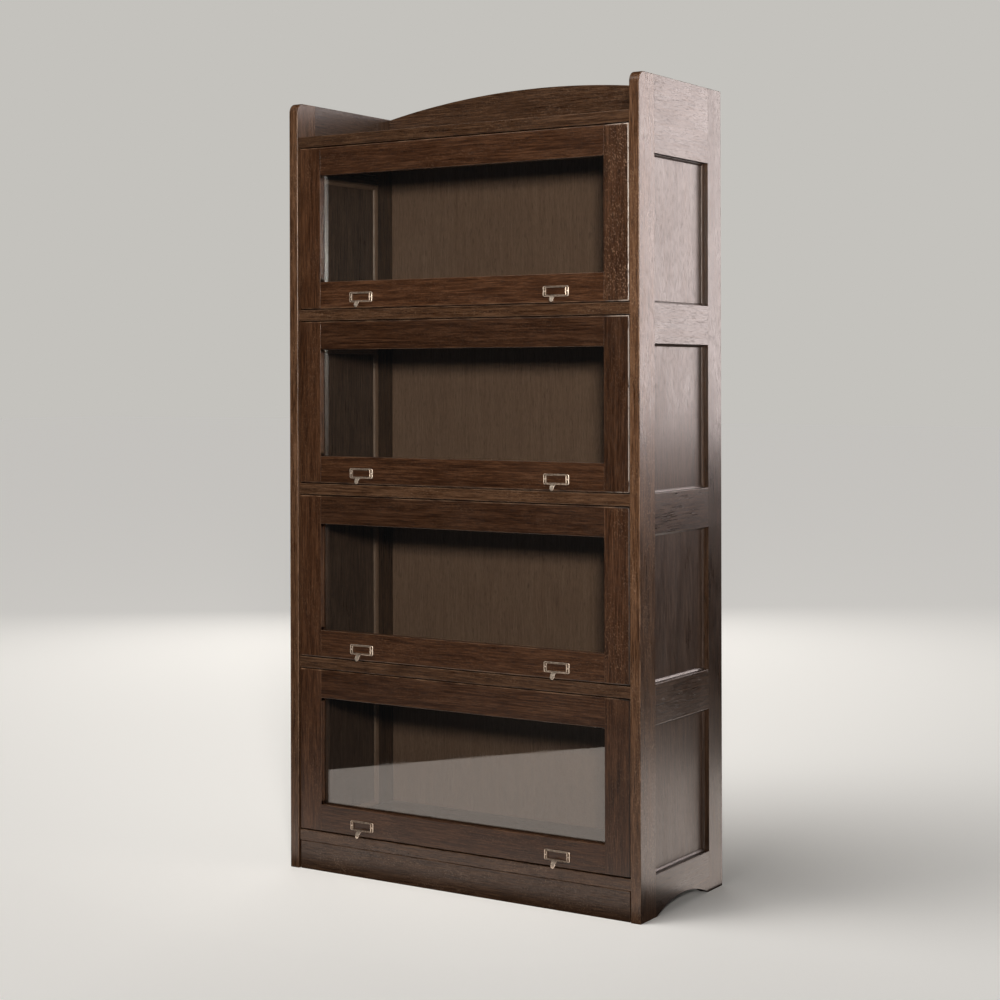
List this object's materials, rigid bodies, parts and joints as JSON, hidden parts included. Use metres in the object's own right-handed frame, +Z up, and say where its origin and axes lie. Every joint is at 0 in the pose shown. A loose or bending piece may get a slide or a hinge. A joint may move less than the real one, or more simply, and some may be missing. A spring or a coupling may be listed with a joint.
{
  "type": "barrister bookcase",
  "caption": "Tall free-standing bookcase in dark oak: stacked compartments behind glazed doors that lift and slide back, panelled sides and an arched gallery board at the back.",
  "frame": {"origin": "middle of the footprint on the floor, counting the pulls in front of the doors", "axes": "+Z up, +X to the right when facing the doors, +Y towards the back, so the doors face -Y"},
  "size_m": [0.927, 0.398, 1.822],
  "materials": {
    "oak_case": "quarter-sawn oak, dark espresso stain, satin lacquer",
    "oak_panel": "oak veneer, dark espresso stain, satin lacquer",
    "oak_door": "quarter-sawn oak, dark reddish-brown stain, satin lacquer",
    "glass": "clear float glass",
    "antique_brass": "antique brass, rubbed bright on the edges",
    "pin_steel": "turned steel"
  },
  "bodies": {
    "case": {"left_side_front_stile": "oak_case", "left_side_rear_stile": "oak_case", "left_side_bottom_rail": "oak_case", "left_side_lower_rail": "oak_case", "left_side_middle_rail": "oak_case", "left_side_upper_rail": "oak_case", "left_side_top_rail": "oak_case", "left_side_panel_1": "oak_panel", "left_side_panel_2": "oak_panel", "left_side_panel_3": "oak_panel", "left_side_panel_4": "oak_panel", "right_side_front_stile": "oak_case", "right_side_rear_stile": "oak_case", "right_side_bottom_rail": "oak_case", "right_side_lower_rail": "oak_case", "right_side_middle_rail": "oak_case", "right_side_upper_rail": "oak_case", "right_side_top_rail": "oak_case", "right_side_panel_1": "oak_panel", "right_side_panel_2": "oak_panel", "right_side_panel_3": "oak_panel", "right_side_panel_4": "oak_panel", "bottom_board": "oak_case", "shelf_1": "oak_case", "shelf_2": "oak_case", "shelf_3": "oak_case", "top_board": "oak_case", "kick_board": "oak_case", "back_panel": "oak_panel", "arched_gallery_board": "oak_case"},
    "door_1_guides": {"door_1_guide_pin_left": "pin_steel", "door_1_guide_pin_right": "pin_steel"},
    "door_1": {"door_1_frame": "oak_door", "door_1_glass": "glass", "door_1_glass_bead": "oak_door", "door_1_pull_left": "antique_brass", "door_1_pull_right": "antique_brass"},
    "door_2_guides": {"door_2_guide_pin_left": "pin_steel", "door_2_guide_pin_right": "pin_steel"},
    "door_2": {"door_2_frame": "oak_door", "door_2_glass": "glass", "door_2_glass_bead": "oak_door", "door_2_pull_left": "antique_brass", "door_2_pull_right": "antique_brass"},
    "door_3_guides": {"door_3_guide_pin_left": "pin_steel", "door_3_guide_pin_right": "pin_steel"},
    "door_3": {"door_3_frame": "oak_door", "door_3_glass": "glass", "door_3_glass_bead": "oak_door", "door_3_pull_left": "antique_brass", "door_3_pull_right": "antique_brass"},
    "door_4_guides": {"door_4_guide_pin_left": "pin_steel", "door_4_guide_pin_right": "pin_steel"},
    "door_4": {"door_4_frame": "oak_door", "door_4_glass": "glass", "door_4_glass_bead": "oak_door", "door_4_pull_left": "antique_brass", "door_4_pull_right": "antique_brass"}
  },
  "joints": [
    {"name": "door_1_slide", "type": "slide", "parent": "case", "child": "door_1_guides", "axis": [0, 1, 0], "range_m": [0, 0.285]},
    {"name": "door_1_lift", "type": "hinge", "parent": "door_1_guides", "child": "door_1", "pos_m": [0, -0.16445, 0.425], "axis": [-1, 0, 0], "range_deg": [0, 90]},
    {"name": "door_2_slide", "type": "slide", "parent": "case", "child": "door_2_guides", "axis": [0, 1, 0], "range_m": [0, 0.285]},
    {"name": "door_2_lift", "type": "hinge", "parent": "door_2_guides", "child": "door_2", "pos_m": [0, -0.16445, 0.827], "axis": [-1, 0, 0], "range_deg": [0, 90]},
    {"name": "door_3_slide", "type": "slide", "parent": "case", "child": "door_3_guides", "axis": [0, 1, 0], "range_m": [0, 0.285]},
    {"name": "door_3_lift", "type": "hinge", "parent": "door_3_guides", "child": "door_3", "pos_m": [0, -0.16445, 1.229], "axis": [-1, 0, 0], "range_deg": [0, 90]},
    {"name": "door_4_slide", "type": "slide", "parent": "case", "child": "door_4_guides", "axis": [0, 1, 0], "range_m": [0, 0.285]},
    {"name": "door_4_lift", "type": "hinge", "parent": "door_4_guides", "child": "door_4", "pos_m": [0, -0.16445, 1.631], "axis": [-1, 0, 0], "range_deg": [0, 90]}
  ]
}
